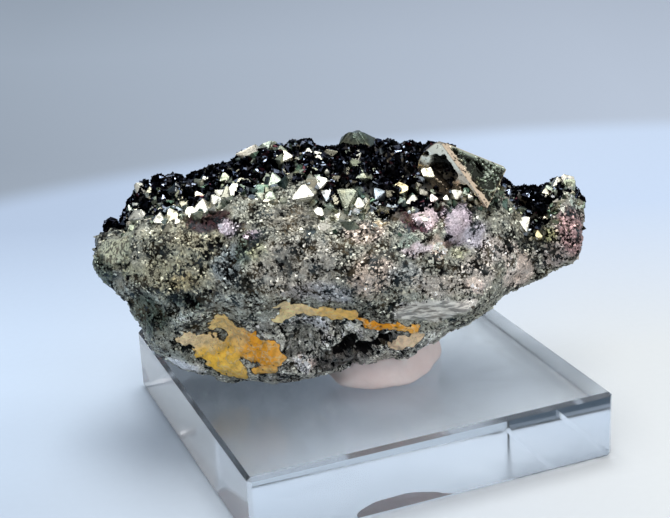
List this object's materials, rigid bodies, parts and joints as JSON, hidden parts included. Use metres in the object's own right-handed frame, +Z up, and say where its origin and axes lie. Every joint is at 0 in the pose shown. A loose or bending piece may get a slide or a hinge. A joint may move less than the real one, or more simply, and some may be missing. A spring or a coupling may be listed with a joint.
{
  "type": "octahedral pyrite mineral specimen",
  "caption": "Long nodule of octahedral pyrite crystals with a knob at one end, held by putty on a square clear acrylic display block.",
  "frame": {"origin": "centre of the display block's underside", "axes": "+Z up; X and Y along the sides of the square block; the specimen's long direction is turned 21.3 degrees clockwise from +X, seen from above"},
  "size_m": [0.0647, 0.0508, 0.0413],
  "materials": {
    "pyrite": "granular metallic pale brass with a black druse, tarnished in patches, ochre in its hollows",
    "putty": "matt pinkish white mineral putty",
    "acrylic": "polished clear acrylic with a small bevel"
  },
  "bodies": {
    "root": {"pyrite_specimen": "pyrite", "mounting_putty": "putty", "acrylic_block": "acrylic"}
  },
  "joints": []
}
